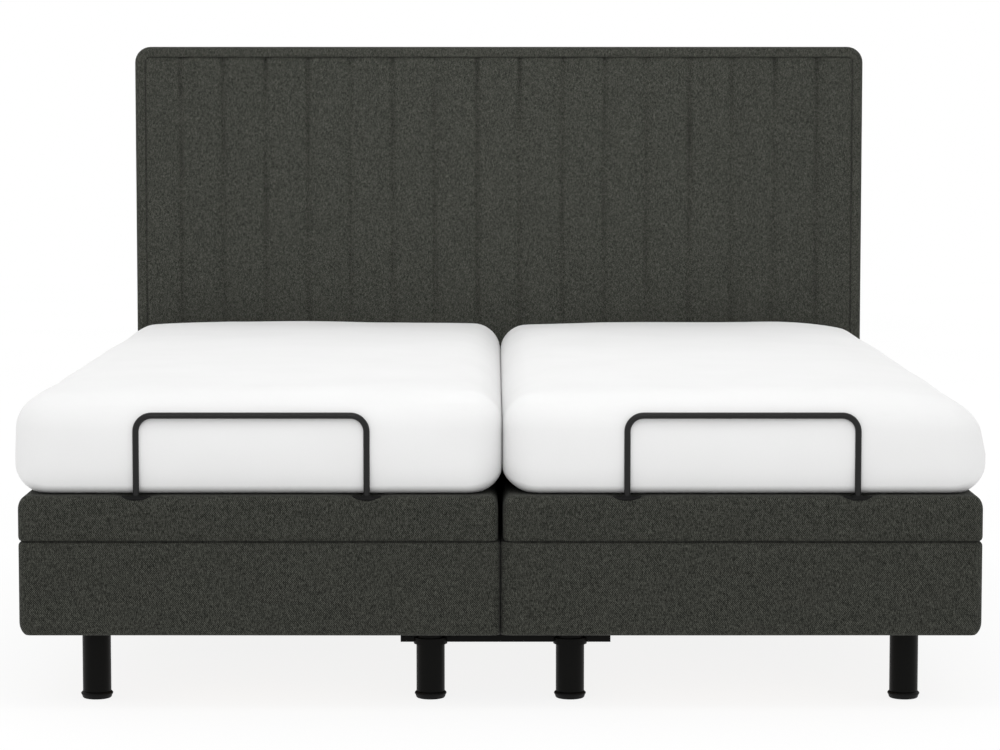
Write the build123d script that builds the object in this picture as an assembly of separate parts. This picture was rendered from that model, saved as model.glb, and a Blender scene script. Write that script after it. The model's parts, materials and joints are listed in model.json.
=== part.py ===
from build123d import *
import os
from math import atan2, cos, degrees, hypot, radians, sin, tan

# A double boxspring bed with a powered base, split down the middle: two lower boxes on legs, two
# upholstered decks that fold at the seat and the knee, two mattresses and one padded headboard.
# Millimetres. X runs across (the left half is at -X), Y from foot to head, Z up. Everything is
# modelled from the foot face at Y 0, and each half about its own X 0; save() moves it into place.

# Whole bed
TOTAL_WIDTH = 1800.0
BASE_GAP = 6.0
BED_LENGTH = 2000.0
HALF_WIDTH = (TOTAL_WIDTH - BASE_GAP) / 2
HALF_X = {"left": -(HALF_WIDTH + BASE_GAP) / 2, "right": (HALF_WIDTH + BASE_GAP) / 2}
W = HALF_WIDTH / 2

# Heights
BOX_BOTTOM = 140.0
BOX_TOP = 316.0
DECK_BOTTOM = 317.0
DECK_TOP = 402.0
MATTRESS_BOTTOM = 403.0
MATTRESS_TOP = 590.0
HEADBOARD_TOP = 1272.0

# Lengths of the folding sections, from the foot
KNEE_Y = 600.0
SEAT_FOOT_Y = 950.0
SEAT_HEAD_Y = 1250.0
SECTION_GAP = 10.0
THIGH_TILT = 35.0
BACK_TILT = 60.0

# Upholstery and boards
PAD = 10.0
TOP_PAD = 12.0
BOARD = 18.0
EDGE_RADIUS = 20.0
INNER_X = W - PAD - BOARD
BOARD_TOP = DECK_TOP - TOP_PAD
BOARD_UNDER = BOARD_TOP - BOARD

# Folding axes, seen from the side as (Y, Z). The lift shaft, its arms and the two folding
# sections make a parallelogram, so the calf section stays level while it rises.
FOLD_Z = DECK_TOP - 8.0
BACK_AXIS = (SEAT_HEAD_Y, FOLD_Z)
THIGH_AXIS = (SEAT_FOOT_Y, FOLD_Z)
KNEE_AXIS = (KNEE_Y, DECK_BOTTOM + 7.0)
ARM_PIN = (180.0, 225.0)
SHAFT_AXIS = (ARM_PIN[0] + THIGH_AXIS[0] - KNEE_AXIS[0], ARM_PIN[1] + THIGH_AXIS[1] - KNEE_AXIS[1])

# Hinges
PIN_R = 4.0
FIT = 0.05
EAR_R = 7.5
PLATE = 6.0
FIXED_EAR_X = 360.0
MOVING_EAR_X = FIXED_EAR_X + PLATE + 0.6

# Sub-frames of the folding sections
TUBE_W = 19.0
TUBE_Z = (342.0, BOARD_UNDER)
SHAFT_R = 15.0
ARM_X = 330.0
ARM_THICK = 8.0
BRACKET_X = 341.0

# Fixed frame
RAIL_W = 30.0
RAIL_Z = (270.0, 310.0)
HANGER_Z = (286.0, 310.0)
HANGER_Y = (690.0, 965.0, 1085.0)

# Drive: two pushers slide out of one housing, one towards each end
LEVER_X = 23.0
ROLLER_R = 10.0
BACK_LEVER = 165.0
SHAFT_LEVER = 60.0
BACK_PUSH_GAP = 1.8
LEG_PUSH_GAP = 0.8
HOUSING_X = 75.0
HOUSING_Y = (650.0, 1130.0)
HOUSING_Z = (195.0, 286.0)
WALL = 4.0
ROD_W = 30.0
ROD_Z = (228.0, 252.0)
PUSH_HEAD_Z = (212.0, 268.0)
PUSH_HEAD = 12.0
SLIDE_CLEARANCE = 0.3

# Retainer bar at the foot of each mattress
BAR_R = 6.0
BAR_WIDTH = 442.0
BAR_BEND = 30.0
BAR_TOP = 557.5
BAR_Y = 18.0
BAR_SHIFT = {"left": -13.0, "right": 0.0}
MATTRESS_FOOT_Y = BAR_Y + BAR_R + 2.0
MATTRESS_W = W - 2.0
MATTRESS_CUT = {"thigh": 18.5, "back": 31.0}

# Legs
LEG_R = 27.0
LEG_WALL = 2.0
CAP_R = 30.5
CAP_H = 13.0
LEG_INSET_X = 130.0
LEG_INSET_Y = 130.0
PLATE_SIZE = 90.0
LEG_PLATE_Z = (144.0, 150.0)
LEG_BOARD_Z = (150.0, 170.0)
SCREW_R = 2.5

# Bracket that ties the two boxes together at the foot
LINK_LENGTH = 400.0
LINK_SHIFT = 10.0
LINK_Y = (124.0, 176.0)
LINK_Z = (108.0, 140.0)
LINK_THICK = 4.0
LINK_SLOTS = (-176.0, -90.0, 90.0, 176.0)
LINK_SLOT_Z = 122.0
COLLAR_R = 32.0
COLLAR_Z = (105.0, 117.0)

# Headboard
HEAD_Y = BED_LENGTH + 10.0
HEAD_PAD = 25.0
HEAD_BORDER = 25.0
HEAD_FRAME_Y = HEAD_Y + HEAD_PAD
HEAD_BACK_Y = HEAD_FRAME_Y + 56.0
BACK_COVER = 4.0
TOTAL_LENGTH = HEAD_BACK_Y + BACK_COVER
HEAD_CORNER_R = 38.0
CHANNELS = 17
GROOVE = 9.0
PAD_BOTTOM = 340.0
BRACKET_OFFSETS = (-225.0, 225.0)
BRACKET_Z = (170.0, 290.0)
BOLT_Z = (195.0, 265.0)
BOLT_R = 4.0


def block(x, y, z):
    """A box from its (low, high) limits along each axis."""
    size = Box(x[1] - x[0], y[1] - y[0], z[1] - z[0])
    return Pos(sum(x) / 2, sum(y) / 2, sum(z) / 2) * size


def both_sides(shape):
    """A shape and its mirror image across the middle of its half."""
    return [shape, mirror(shape, about=Plane.YZ)]


def rod_x(axis, radius, x):
    """A round bar along X through axis, a (Y, Z) point."""
    return Pos(sum(x) / 2, *axis) * Rot(0, 90, 0) * Cylinder(radius, x[1] - x[0])


def rod_y(x, z, radius, y):
    """A round bar along Y."""
    return Pos(x, sum(y) / 2, z) * Rot(90, 0, 0) * Cylinder(radius, y[1] - y[0])


def rod_z(x, y, radius, z):
    """A round bar along Z."""
    return Pos(x, y, sum(z) / 2) * Cylinder(radius, z[1] - z[0])


def strap(start, end, width):
    """A round-ended outline between two (Y, Z) points, in the plane seen from the side."""
    span = hypot(end[0] - start[0], end[1] - start[1])
    turn = degrees(atan2(end[1] - start[1], end[0] - start[0]))
    middle = Pos((start[0] + end[0]) / 2, (start[1] + end[1]) / 2)
    return middle * Rot(0, 0, turn) * SlotCenterToCenter(span, width)


def side_rect(y, z):
    """A rectangle seen from the side."""
    return Pos(sum(y) / 2, sum(z) / 2) * Rectangle(y[1] - y[0], z[1] - z[0])


def side_plate(outline, x, bores=()):
    """A flat plate between two X values, with (axis, radius) holes."""
    plate = extrude(Plane.YZ.offset(x[0]) * outline, x[1] - x[0])
    for axis, radius in bores:
        plate -= rod_x(axis, radius, (x[0] - 1, x[1] + 1))
    return plate


def turned(point, axis, degrees_up):
    """A (Y, Z) point turned about an axis."""
    dy, dz = point[0] - axis[0], point[1] - axis[1]
    c, s = cos(radians(degrees_up)), sin(radians(degrees_up))
    return (axis[0] + dy * c - dz * s, axis[1] + dy * s + dz * c)


def save(name, pieces, side=None):
    """Write one node, moved to its half of the bed and to the middle of the footprint."""
    pieces = pieces if isinstance(pieces, list) else [pieces]
    place = Pos(HALF_X[side] if side else 0, -TOTAL_LENGTH / 2, 0)
    solids = [place * solid for piece in pieces for solid in piece.solids()]
    node = f"{name}_{side}" if side else name
    export_step(Compound(children=solids) if len(solids) > 1 else solids[0], f"parts/{node}.step")


# ---- lower box -------------------------------------------------------------------------------


def head_bolts(radius, y):
    """The two bolt lines of each headboard bracket of one half."""
    return [rod_y(x, z, radius, y) for x in BRACKET_OFFSETS for z in BOLT_Z]


def leg_places():
    """Leg centres of one half."""
    reach = W - LEG_INSET_X
    return [(x, y) for x in (-reach, reach) for y in (LEG_INSET_Y, BED_LENGTH - LEG_INSET_Y)]


def screw_places():
    """Screws at the corners of each leg's plate, for one half."""
    reach = PLATE_SIZE / 2 - 9
    return [(x + dx, y + dy) for x, y in leg_places() for dx in (-reach, reach) for dy in (-reach, reach)]


def box_boards():
    z = (BOX_BOTTOM + PAD, BOX_TOP - PAD)
    boards = both_sides(block((INNER_X, W - PAD), (PAD, BED_LENGTH - PAD), z))
    foot = block((-INNER_X, INNER_X), (PAD, PAD + BOARD), z)
    head = block((-INNER_X, INNER_X), (BED_LENGTH - PAD - BOARD, BED_LENGTH - PAD), z)
    for bolt in head_bolts(BOLT_R + FIT, (BED_LENGTH - 60, BED_LENGTH)):
        head -= bolt
    boards += [foot, head]
    for middle in (LEG_INSET_Y, BED_LENGTH - LEG_INSET_Y):
        board = block((-INNER_X, INNER_X), (middle - 60, middle + 60), LEG_BOARD_Z)
        for x, y in screw_places():
            board -= rod_z(x, y, SCREW_R + FIT, LEG_BOARD_Z)
        boards.append(board)
    return boards


def box_cover():
    cover = block((-W, W), (0, BED_LENGTH), (BOX_BOTTOM, BOX_TOP))
    cover = fillet(cover.edges(), EDGE_RADIUS)
    ends = (PAD, BED_LENGTH - PAD)
    cover -= block((-W + PAD, W - PAD), ends, (BOX_BOTTOM + PAD, BOX_TOP - PAD))
    cover -= block((-INNER_X, INNER_X), (PAD + BOARD, BED_LENGTH - PAD - BOARD), (BOX_TOP - 2 * PAD, BOX_TOP + 1))
    cover -= block((-400, 400), (50, BED_LENGTH - 50), (BOX_BOTTOM - 1, BOX_BOTTOM + 2 * PAD))
    for bolt in head_bolts(BOLT_R + FIT, (BED_LENGTH - PAD - 1, BED_LENGTH + 1)):
        cover -= bolt
    return cover


def fixed_frame():
    """Side rails on the box boards, cross rails, shaft bearings and the fixed hinge plates."""
    rail_in = INNER_X - RAIL_W
    pieces = both_sides(block((rail_in, INNER_X), (60, BED_LENGTH - 60), RAIL_Z))
    across = (-rail_in, rail_in)
    for start in (60, 1640, 1900):
        pieces.append(block(across, (start, start + RAIL_W), RAIL_Z))
    for start in HANGER_Y:
        pieces.append(block(across, (start, start + RAIL_W), HANGER_Z))
    ear_z = (RAIL_Z[1] + TUBE_Z[1]) / 2 + 20
    outline = side_rect((SEAT_FOOT_Y + 15, SEAT_HEAD_Y - 15), (HANGER_Z[1], BOARD_UNDER))
    outline += strap(THIGH_AXIS, (SEAT_FOOT_Y + 25, ear_z), 2 * EAR_R)
    outline += strap(BACK_AXIS, (SEAT_HEAD_Y - 25, ear_z), 2 * EAR_R)
    bores = [(THIGH_AXIS, PIN_R + FIT), (BACK_AXIS, PIN_R + FIT)]
    pieces += both_sides(side_plate(outline, (FIXED_EAR_X, FIXED_EAR_X + PLATE), bores))
    bearing = block((rail_in - 15, rail_in), (SHAFT_AXIS[0] - 25, SHAFT_AXIS[0] + 25), (272, 316))
    bearing -= rod_x(SHAFT_AXIS, SHAFT_R + FIT, (rail_in - 20, rail_in + 5))
    pieces += both_sides(bearing)
    return pieces


# ---- folding decks ---------------------------------------------------------------------------


def hinge_notches():
    """Cut-outs in boards and covers round the ears of the two upper folds."""
    x = (FIXED_EAR_X - 3, MOVING_EAR_X + PLATE + 3)
    cuts = []
    for y, _ in (THIGH_AXIS, BACK_AXIS):
        cuts += both_sides(block(x, (y - 28, y + 28), (BOARD_UNDER - 1, DECK_TOP + 1)))
    return cuts


def bar_holes(side):
    reach = BAR_WIDTH / 2 - BAR_R
    centre = BAR_SHIFT[side]
    return [rod_z(centre + x, BAR_Y, BAR_R + 0.15, (BOARD_UNDER, DECK_TOP + 1)) for x in (-reach, reach)]


def section_limits(start, end):
    """A section's ends along the bed: free ends reach their full length, folds leave a gap."""
    low = start if start == 0 else start + SECTION_GAP / 2
    high = end if end == BED_LENGTH else end - SECTION_GAP / 2
    return low, high


def deck_board(start, end, cuts):
    """Plywood panel with a rail under each side and under a free end."""
    low, high = section_limits(start, end)
    low += PAD if start == 0 else 0
    high -= PAD if end == BED_LENGTH else 0
    panel = block((-W + PAD, W - PAD), (low, high), (BOARD_UNDER, BOARD_TOP))
    for cut in cuts:
        panel -= cut
    rail_z = (DECK_BOTTOM + 3, BOARD_UNDER)
    pieces = [panel] + both_sides(block((INNER_X, W - PAD), (low, high), rail_z))
    if start == 0:
        pieces.append(block((-INNER_X, INNER_X), (low, low + BOARD), rail_z))
    if end == BED_LENGTH:
        pieces.append(block((-INNER_X, INNER_X), (high - BOARD, high), rail_z))
    return pieces


def deck_cover(start, end, cuts):
    """Foam and fabric over the panel's top, its sides and its free end."""
    low, high = section_limits(start, end)
    cover = block((-W, W), (low, high), (DECK_BOTTOM, DECK_TOP))
    soft = cover.edges().filter_by(Axis.Y).group_by(Axis.Z)[-1]
    if start == 0:
        soft += cover.edges().group_by(Axis.Y)[0].sort_by(Axis.Z)[1:]
    if end == BED_LENGTH:
        soft += cover.edges().group_by(Axis.Y)[-1].sort_by(Axis.Z)[1:]
    cover = fillet(soft, EDGE_RADIUS)
    inside = (low + PAD if start == 0 else low - 1, high - PAD if end == BED_LENGTH else high + 1)
    cover -= block((-W + PAD, W - PAD), inside, (DECK_BOTTOM - 1, BOARD_TOP))
    for cut in cuts:
        cover -= cut
    return cover


def hinge_plate(axis, y, x):
    """A plate beside a frame tube, with an ear that reaches to a folding axis."""
    near = y[0] + 10 if abs(y[0] - axis[0]) < abs(y[1] - axis[0]) else y[1] - 10
    outline = side_rect(y, TUBE_Z) + strap(axis, (near, sum(TUBE_Z) / 2), 2 * EAR_R)
    return both_sides(side_plate(outline, x, [(axis, PIN_R + FIT)]))


def back_frame():
    """Two tubes, three cross members and the lever that the drive pushes."""
    plate_x = (MOVING_EAR_X, MOVING_EAR_X + PLATE)
    tube_x = (plate_x[1], plate_x[1] + TUBE_W)
    pieces = hinge_plate(BACK_AXIS, (SEAT_HEAD_Y + 12, SEAT_HEAD_Y + 90), plate_x)
    pieces += both_sides(block(tube_x, (SEAT_HEAD_Y + 12, BED_LENGTH - 40), TUBE_Z))
    for start in (SEAT_HEAD_Y + 350, BED_LENGTH - 65):
        pieces.append(block((-tube_x[0], tube_x[0]), (start, start + 25), TUBE_Z))
    cross = (SEAT_HEAD_Y + 40, sum(TUBE_Z) / 2)
    roller = turned((BACK_AXIS[0], BACK_AXIS[1] - BACK_LEVER), BACK_AXIS, -BACK_TILT / 2)
    lever_x = (LEVER_X, LEVER_X + PLATE)
    levers = both_sides(side_plate(strap(cross, roller, 30), lever_x, [(cross, 13)]))
    pieces.append(rod_x(cross, 13, (-plate_x[0], plate_x[0])))
    pieces += levers
    pieces.append(rod_x(roller, ROLLER_R, (-LEVER_X, LEVER_X)))
    return pieces


def thigh_frame():
    plate_x = (MOVING_EAR_X, MOVING_EAR_X + PLATE)
    tube_x = (plate_x[1], plate_x[1] + TUBE_W)
    y = (KNEE_Y + 14, SEAT_FOOT_Y - 14)
    pieces = hinge_plate(THIGH_AXIS, (y[1] - 80, y[1]), plate_x)
    pieces += hinge_plate(KNEE_AXIS, (y[0], y[0] + 80), plate_x)
    pieces += both_sides(block(tube_x, y, TUBE_Z))
    for start in (y[0] + 5, y[1] - 30):
        pieces.append(block((-plate_x[0], plate_x[0]), (start, start + 25), TUBE_Z))
    return pieces


def calf_frame():
    """Tubes under the calf panel, the knee ears, the arm brackets, and the knee and arm pins."""
    ear_x = (FIXED_EAR_X, FIXED_EAR_X + PLATE)
    tube_x = (FIXED_EAR_X - TUBE_W, FIXED_EAR_X)
    y = (60, KNEE_Y - 14)
    pieces = hinge_plate(KNEE_AXIS, (y[1] - 80, y[1]), ear_x)
    pieces += both_sides(block(tube_x, y, TUBE_Z))
    for start in (y[0], 300, y[1] - 25):
        pieces.append(block((-tube_x[0], tube_x[0]), (start, start + 25), TUBE_Z))
    bracket = side_rect((ARM_PIN[0] - 18, ARM_PIN[0] + 18), (ARM_PIN[1], TUBE_Z[0]))
    bracket += Pos(*ARM_PIN) * Circle(18)
    bracket_x = (BRACKET_X, BRACKET_X + PLATE)
    pieces += both_sides(side_plate(bracket, bracket_x, [(ARM_PIN, 5 + FIT)]))
    pieces += both_sides(rod_x(ARM_PIN, 5, (ARM_X - 6, BRACKET_X + PLATE + 4)))
    pieces += both_sides(rod_x(KNEE_AXIS, PIN_R, (FIXED_EAR_X - 4, MOVING_EAR_X + PLATE + 4)))
    return pieces


def hinge_pins():
    x = (FIXED_EAR_X - 4, MOVING_EAR_X + PLATE + 4)
    pins = []
    for axis in (THIGH_AXIS, BACK_AXIS):
        pins += both_sides(rod_x(axis, PIN_R, x))
    return pins


def lift_shaft():
    """Torsion tube with a lift arm near each end and the forked lever that the drive pushes."""
    bearing_out = INNER_X - RAIL_W - 1
    shaft = rod_x(SHAFT_AXIS, SHAFT_R, (-bearing_out, bearing_out))
    arm_x = (ARM_X, ARM_X + ARM_THICK)
    arm = side_plate(strap(SHAFT_AXIS, ARM_PIN, 36), arm_x, [(ARM_PIN, 5.6)])
    roller = turned((SHAFT_AXIS[0], SHAFT_AXIS[1] - SHAFT_LEVER), SHAFT_AXIS, THIGH_TILT / 2)
    fork = side_plate(strap(SHAFT_AXIS, roller, 24), (LEVER_X, LEVER_X + PLATE))
    for piece in both_sides(arm) + both_sides(fork):
        shaft += piece
    shaft += rod_x(roller, ROLLER_R - 1, (-LEVER_X - 1, LEVER_X + 1))
    return shaft


# ---- drive -----------------------------------------------------------------------------------


def pusher(face, direction, length):
    """A square rod with a flat head whose face is at Y face, pushing along direction."""
    head = (face - direction * PUSH_HEAD, face)
    rod = (face - direction * length, face - direction * PUSH_HEAD)
    piece = block((-20, 20), sorted(head), PUSH_HEAD_Z)
    return piece + block((-ROD_W / 2, ROD_W / 2), sorted(rod), ROD_Z)


def back_pusher():
    roller = turned((BACK_AXIS[0], BACK_AXIS[1] - BACK_LEVER), BACK_AXIS, -BACK_TILT / 2)
    return pusher(roller[0] - ROLLER_R - BACK_PUSH_GAP, 1, 215)


def leg_pusher():
    roller = turned((SHAFT_AXIS[0], SHAFT_AXIS[1] - SHAFT_LEVER), SHAFT_AXIS, THIGH_TILT / 2)
    return pusher(roller[0] + ROLLER_R - 1 + LEG_PUSH_GAP, -1, 190)


def drive_housing():
    """A closed housing hung from the cross rails, with an opening at each end for a rod."""
    housing = block((-HOUSING_X, HOUSING_X), HOUSING_Y, HOUSING_Z)
    housing = fillet(housing.edges().filter_by(Axis.Y), 12)
    inner_z = (HOUSING_Z[0] + WALL, HOUSING_Z[1] - WALL)
    inner_y = (HOUSING_Y[0] + WALL, HOUSING_Y[1] - WALL)
    inside = block((-HOUSING_X + WALL, HOUSING_X - WALL), inner_y, inner_z)
    housing -= fillet(inside.edges().filter_by(Axis.Y), 12 - WALL)
    slot_x = ROD_W / 2 + SLIDE_CLEARANCE
    slot_z = (ROD_Z[0] - SLIDE_CLEARANCE, ROD_Z[1] + SLIDE_CLEARANCE)
    housing -= block((-slot_x, slot_x), (HOUSING_Y[0] - 1, HOUSING_Y[1] + 1), slot_z)
    return housing


def drive_motors():
    motors = []
    for x in (-45, 45):
        for y in ((700, 850), (930, 1080)):
            motors.append(rod_y(x, sum(ROD_Z) / 2, 22, y))
    return motors


def control_box():
    """Electronics beside the drive, with the mains inlet in its head end."""
    box = block((HOUSING_X, HOUSING_X + 52), (820, 970), (205, 275))
    box = fillet(box.edges().filter_by(Axis.X).sort_by(Axis.Z)[:2], 6)
    inlet_x = HOUSING_X + 26
    box -= block((inlet_x - 14, inlet_x + 14), (955, 971), (230, 250))
    return box


# ---- mattresses and retainer bars ------------------------------------------------------------


def mattress(start, end):
    """A stand-in block whose ends slope away from the upper folds, so that they can close."""
    rise = MATTRESS_TOP - FOLD_Z
    lift = MATTRESS_BOTTOM - FOLD_Z
    lean = {
        SEAT_FOOT_Y: tan(radians(MATTRESS_CUT["thigh"])),
        SEAT_HEAD_Y: tan(radians(MATTRESS_CUT["back"])),
    }
    low, high = section_limits(start, end)
    low = MATTRESS_FOOT_Y if start == 0 else low
    points = []
    for y, edge, inward in ((start, low, 1), (end, high, -1)):
        slope = lean.get(y)
        ends = [(edge, MATTRESS_BOTTOM), (edge, MATTRESS_TOP)]
        if slope:
            ends = [
                (y + inward * (lift * slope + 0.3), MATTRESS_BOTTOM),
                (y + inward * (rise * slope + 0.3), MATTRESS_TOP),
            ]
        points += ends if inward == 1 else ends[::-1]
    outline = make_face(Polyline(*points, close=True))
    return side_plate(outline, (-MATTRESS_W, MATTRESS_W))


def retainer_bar(side):
    reach = BAR_WIDTH / 2 - BAR_R
    centre = BAR_SHIFT[side]
    top = BAR_TOP - BAR_R
    corners = [(-reach, BOARD_UNDER), (-reach, top), (reach, top), (reach, BOARD_UNDER)]
    path = FilletPolyline(*[(centre + x, BAR_Y, z) for x, z in corners], radius=BAR_BEND)
    return sweep(Plane(path @ 0, z_dir=path % 0) * Circle(BAR_R), path=path)


# ---- legs and link bracket -------------------------------------------------------------------


def all_legs(piece):
    """A piece at every leg of both halves."""
    return [Pos(HALF_X[side] + x, y, 0) * piece for side in HALF_X for x, y in leg_places()]


def leg_tubes():
    tube = rod_z(0, 0, LEG_R, (CAP_H, LEG_PLATE_Z[0]))
    tube -= rod_z(0, 0, LEG_R - LEG_WALL, (CAP_H - 1, LEG_PLATE_Z[0] + 1))
    return all_legs(tube)


def leg_foot_caps():
    """Plastic caps that taper towards the floor from a lip round the tube."""
    lip = CAP_H - 4
    side_line = [(CAP_R - 5, 0), (CAP_R - 3, 2), (CAP_R, lip), (LEG_R + 1, CAP_H)]
    profile = Polyline((0, 0), *side_line, (0, CAP_H), close=True)
    return all_legs(revolve(make_face(Plane.XZ * profile), Axis.Z))


def leg_mounting_plates():
    half = PLATE_SIZE / 2
    plate = block((-half, half), (-half, half), LEG_PLATE_Z)
    plate = fillet(plate.edges().filter_by(Axis.Z), 8)
    reach = half - 9
    for x in (-reach, reach):
        for y in (-reach, reach):
            plate -= rod_z(x, y, SCREW_R + FIT, LEG_PLATE_Z)
    return all_legs(plate)


def link_bracket():
    """A folded steel channel under both boxes; the two middle legs pass through it."""
    x = (LINK_SHIFT - LINK_LENGTH / 2, LINK_SHIFT + LINK_LENGTH / 2)
    channel = block(x, LINK_Y, LINK_Z)
    channel = fillet(channel.edges().filter_by(Axis.X).group_by(Axis.Z)[-1], LINK_THICK)
    inner_y = (LINK_Y[0] + LINK_THICK, LINK_Y[1] - LINK_THICK)
    channel -= block((x[0] - 1, x[1] + 1), inner_y, (LINK_Z[0] - 1, LINK_Z[1] - LINK_THICK))
    leg_x = HALF_X["right"] - (W - LEG_INSET_X)
    legs = [(x, LEG_INSET_Y) for x in (-leg_x, leg_x)]
    for leg in legs:
        channel += rod_z(*leg, COLLAR_R, COLLAR_Z)
    for leg in legs:
        channel -= rod_z(*leg, LEG_R + 0.3, (COLLAR_Z[0] - 1, LINK_Z[1] + 1))
    for slot_x in LINK_SLOTS:
        slot = Pos(slot_x, LINK_Y[0] + LINK_THICK / 2, LINK_SLOT_Z) * Rot(90, 0, 0)
        channel -= slot * extrude(SlotOverall(20, 9), LINK_THICK, both=True)
    return channel


def underside_screws():
    """Screws of the leg plates, and the button heads in the slots of the link bracket."""
    screws = []
    for x in LINK_SLOTS:
        head = rod_y(x, LINK_SLOT_Z, 6.5, (LINK_Y[0] - 3, LINK_Y[0]))
        screws.append(head + rod_y(x, LINK_SLOT_Z, 3, (LINK_Y[0], LINK_Y[0] + 12)))
    for side in HALF_X:
        for x, y in screw_places():
            head = rod_z(HALF_X[side] + x, y, 2 * SCREW_R, (LEG_PLATE_Z[0] - 3, LEG_PLATE_Z[0]))
            screws.append(head + rod_z(HALF_X[side] + x, y, SCREW_R, (LEG_PLATE_Z[0], LEG_BOARD_Z[1])))
    return screws


# ---- headboard -------------------------------------------------------------------------------


def headboard_frame():
    """A plywood front with stiles and rails behind it."""
    x = TOTAL_WIDTH / 2 - HEAD_BORDER
    top = HEADBOARD_TOP - HEAD_BORDER
    panel_y = (HEAD_FRAME_Y, HEAD_FRAME_Y + BOARD)
    panel = block((-x, x), panel_y, (BOX_BOTTOM, top))
    for side in HALF_X:
        for bolt in head_bolts(BOLT_R + FIT, panel_y):
            panel -= Pos(HALF_X[side], 0, 0) * bolt
    rear_y = (panel_y[1], HEAD_BACK_Y)
    pieces = [panel] + both_sides(block((x - 60, x), rear_y, (BOX_BOTTOM, top)))
    pieces.append(block((-30, 30), rear_y, (BOX_BOTTOM + 60, top - 60)))
    for z in ((BOX_BOTTOM, BOX_BOTTOM + 60), (top - 60, top)):
        pieces.append(block((-x + 60, x - 60), rear_y, z))
    return pieces


def headboard_channel_pad():
    """Vertical channels that swell forward between the seams."""
    half = TOTAL_WIDTH / 2 - HEAD_BORDER
    middle = 2 * half / CHANNELS
    line = [Line((half, HEAD_FRAME_Y), (-half, HEAD_FRAME_Y))]
    line.append(Line((-half, HEAD_FRAME_Y), (-half, HEAD_Y + GROOVE)))
    for n in range(CHANNELS):
        start, end = -half + n * middle, -half + (n + 1) * middle
        crest = ((start + end) / 2, HEAD_Y)
        line.append(ThreePointArc((start, HEAD_Y + GROOVE), crest, (end, HEAD_Y + GROOVE)))
    line.append(Line((half, HEAD_Y + GROOVE), (half, HEAD_FRAME_Y)))
    height = HEADBOARD_TOP - HEAD_BORDER - PAD_BOTTOM
    return extrude(Plane.XY.offset(PAD_BOTTOM) * make_face(Wire(line)), height)


def headboard_outline(y):
    half = TOTAL_WIDTH / 2
    slab = block((-half, half), y, (BOX_BOTTOM, HEADBOARD_TOP))
    return fillet(slab.edges().filter_by(Axis.Y).group_by(Axis.Z)[-1], HEAD_CORNER_R)


def headboard_border():
    """Padded edge round the channels and the frame, open at the bottom."""
    y = (HEAD_Y, HEAD_BACK_Y)
    inside_x = TOTAL_WIDTH / 2 - HEAD_BORDER
    inside = block((-inside_x, inside_x), (y[0] - 1, y[1] + 1), (BOX_BOTTOM - 1, HEADBOARD_TOP - HEAD_BORDER))
    return headboard_outline(y) - inside


def headboard_brackets():
    """A folded steel spacer at each bolt pair, between the box and the headboard's frame."""
    pieces = []
    for side in HALF_X:
        for offset in BRACKET_OFFSETS:
            x = HALF_X[side] + offset
            spacer = block((x - 30, x + 30), (BED_LENGTH, HEAD_FRAME_Y), BRACKET_Z)
            spacer -= block((x - 25, x + 31), (BED_LENGTH + 5, HEAD_FRAME_Y - 5), (0, HEADBOARD_TOP))
            for z in BOLT_Z:
                spacer -= rod_y(x, z, BOLT_R + FIT, (BED_LENGTH - 1, HEAD_FRAME_Y + 1))
            pieces.append(spacer)
    return pieces


def headboard_bolts():
    bolts = []
    for side in HALF_X:
        for x in BRACKET_OFFSETS:
            for z in BOLT_Z:
                start = BED_LENGTH - PAD - BOARD
                head = rod_y(HALF_X[side] + x, z, 7, (start - 5, start))
                bolts.append(head + rod_y(HALF_X[side] + x, z, BOLT_R, (start, HEAD_FRAME_Y + BOARD)))
    return bolts


# ---- write every node ------------------------------------------------------------------------

os.makedirs("parts", exist_ok=True)

save("headboard_frame", headboard_frame())
save("headboard_channel_pad", headboard_channel_pad())
save("headboard_border", headboard_border())
save("headboard_back_cover", headboard_outline((HEAD_BACK_Y, TOTAL_LENGTH)))
save("headboard_brackets", headboard_brackets())
save("headboard_bolts", headboard_bolts())
save("link_bracket", link_bracket())
save("underside_screws", underside_screws())
save("leg_tubes", leg_tubes())
save("leg_foot_caps", leg_foot_caps())
save("leg_mounting_plates", leg_mounting_plates())
save("hinge_pins", [Pos(HALF_X[side], 0, 0) * pin for side in HALF_X for pin in hinge_pins()])
save("drive_motors", [Pos(HALF_X[side], 0, 0) * motor for side in HALF_X for motor in drive_motors()])
save("control_boxes", [Pos(HALF_X[side], 0, 0) * control_box() for side in HALF_X])

notches = hinge_notches()
sections = {
    "calf": (0, KNEE_Y),
    "thigh": (KNEE_Y, SEAT_FOOT_Y),
    "seat": (SEAT_FOOT_Y, SEAT_HEAD_Y),
    "back": (SEAT_HEAD_Y, BED_LENGTH),
}
for side in HALF_X:
    save("box_boards", box_boards(), side)
    save("box_cover", box_cover(), side)
    save("fixed_frame", fixed_frame(), side)
    for section, (start, end) in sections.items():
        cuts = notches + bar_holes(side) if section == "calf" else notches
        save(f"{section}_board", deck_board(start, end, cuts), side)
        save(f"{section}_cover", deck_cover(start, end, cuts), side)
        save(f"{section}_mattress", mattress(start, end), side)
    save("back_frame", back_frame(), side)
    save("thigh_frame", thigh_frame(), side)
    save("calf_frame", calf_frame(), side)
    save("retainer_bar", retainer_bar(side), side)
    save("lift_shaft", lift_shaft(), side)
    save("drive_housing", drive_housing(), side)
    save("back_pusher", back_pusher(), side)
    save("leg_pusher", leg_pusher(), side)
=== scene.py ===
import json
import math

import bmesh
import bpy
import numpy as np
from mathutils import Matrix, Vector, noise


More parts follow.
